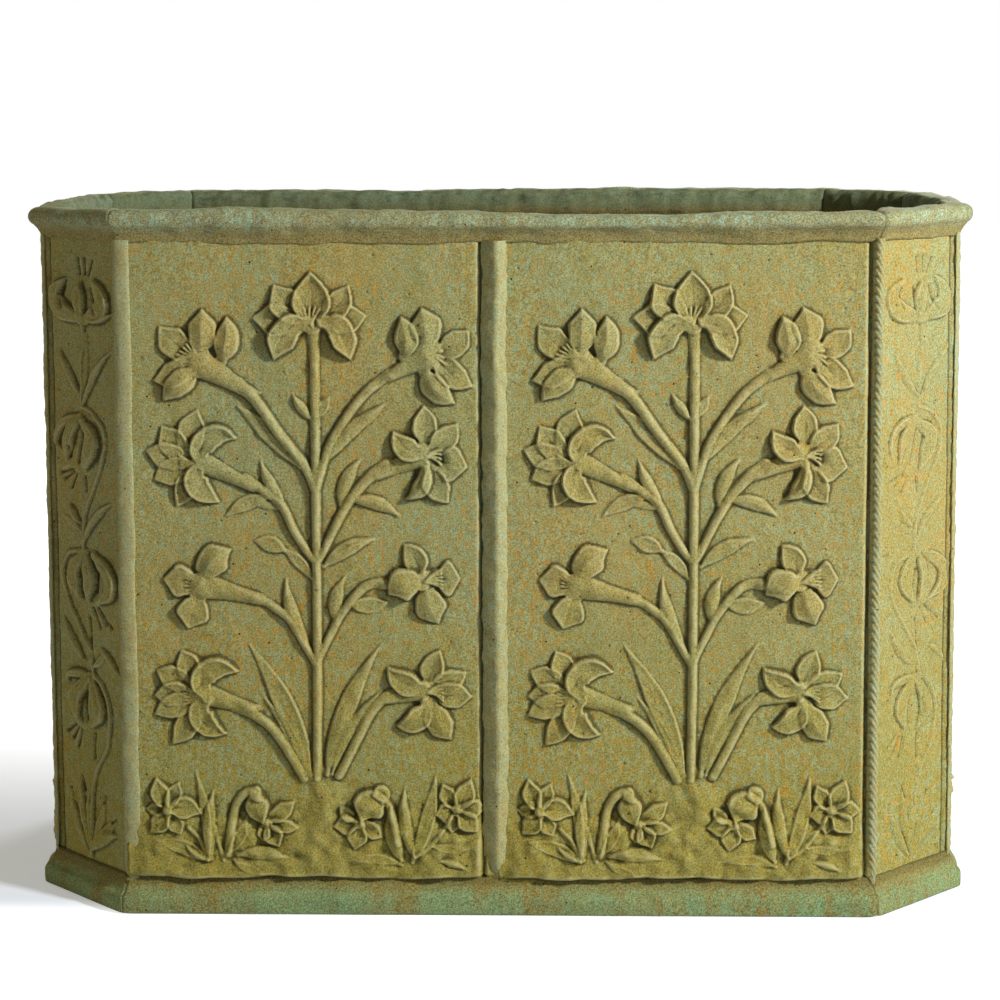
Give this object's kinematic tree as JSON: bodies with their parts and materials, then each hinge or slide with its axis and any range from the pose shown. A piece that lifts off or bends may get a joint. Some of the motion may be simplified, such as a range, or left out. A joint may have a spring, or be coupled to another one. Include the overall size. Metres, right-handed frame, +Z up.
{
  "type": "planter",
  "caption": "Slab-built fired-clay planter, a deep trough with cut corners, a rolled rim, a plinth and pressed flower reliefs round its walls.",
  "frame": {"origin": "on the ground under the middle of the planter", "axes": "+X along the long front, to the right; +Y from front to back; +Z up; the front faces -Y"},
  "size_m": [0.824, 0.432, 0.612],
  "materials": {
    "wall_clay": "matt fired clay, olive tan with fine verdigris and rust flecks",
    "relief_clay": "matt fired clay, rubbed paler on the high places",
    "bead_clay": "matt fired clay, tooled by hand",
    "rim_clay": "matt fired clay, washed blue-green on top",
    "plinth_clay": "matt fired clay, washed blue-green",
    "floor_clay": "bare matt fired clay"
  },
  "bodies": {
    "root": {"floor_slab": "floor_clay", "front_left_panel": "wall_clay", "front_right_panel": "wall_clay", "back_left_panel": "wall_clay", "back_right_panel": "wall_clay", "left_end_panel": "wall_clay", "right_end_panel": "wall_clay", "front_left_corner_panel": "wall_clay", "front_right_corner_panel": "wall_clay", "back_left_corner_panel": "wall_clay", "back_right_corner_panel": "wall_clay", "front_mullion": "bead_clay", "back_mullion": "bead_clay", "front_left_bead": "bead_clay", "front_right_bead": "bead_clay", "right_front_bead": "bead_clay", "right_back_bead": "bead_clay", "back_right_bead": "bead_clay", "back_left_bead": "bead_clay", "left_back_bead": "bead_clay", "left_front_bead": "bead_clay", "front_plinth": "plinth_clay", "front_right_corner_plinth": "plinth_clay", "right_plinth": "plinth_clay", "back_right_corner_plinth": "plinth_clay", "back_plinth": "plinth_clay", "back_left_corner_plinth": "plinth_clay", "left_plinth": "plinth_clay", "front_left_corner_plinth": "plinth_clay", "front_rim": "rim_clay", "front_right_corner_rim": "rim_clay", "right_rim": "rim_clay", "back_right_corner_rim": "rim_clay", "back_rim": "rim_clay", "back_left_corner_rim": "rim_clay", "left_rim": "rim_clay", "front_left_corner_rim": "rim_clay", "front_left_lily": "relief_clay", "front_right_lily": "relief_clay", "back_left_lily": "relief_clay", "back_right_lily": "relief_clay", "left_end_lily": "relief_clay", "right_end_lily": "relief_clay", "front_left_ground": "relief_clay", "front_right_ground": "relief_clay", "back_left_ground": "relief_clay", "back_right_ground": "relief_clay", "left_end_ground": "relief_clay", "right_end_ground": "relief_clay", "front_left_corner_vine": "relief_clay", "front_right_corner_vine": "relief_clay", "back_left_corner_vine": "relief_clay", "back_right_corner_vine": "relief_clay"}
  },
  "joints": []
}
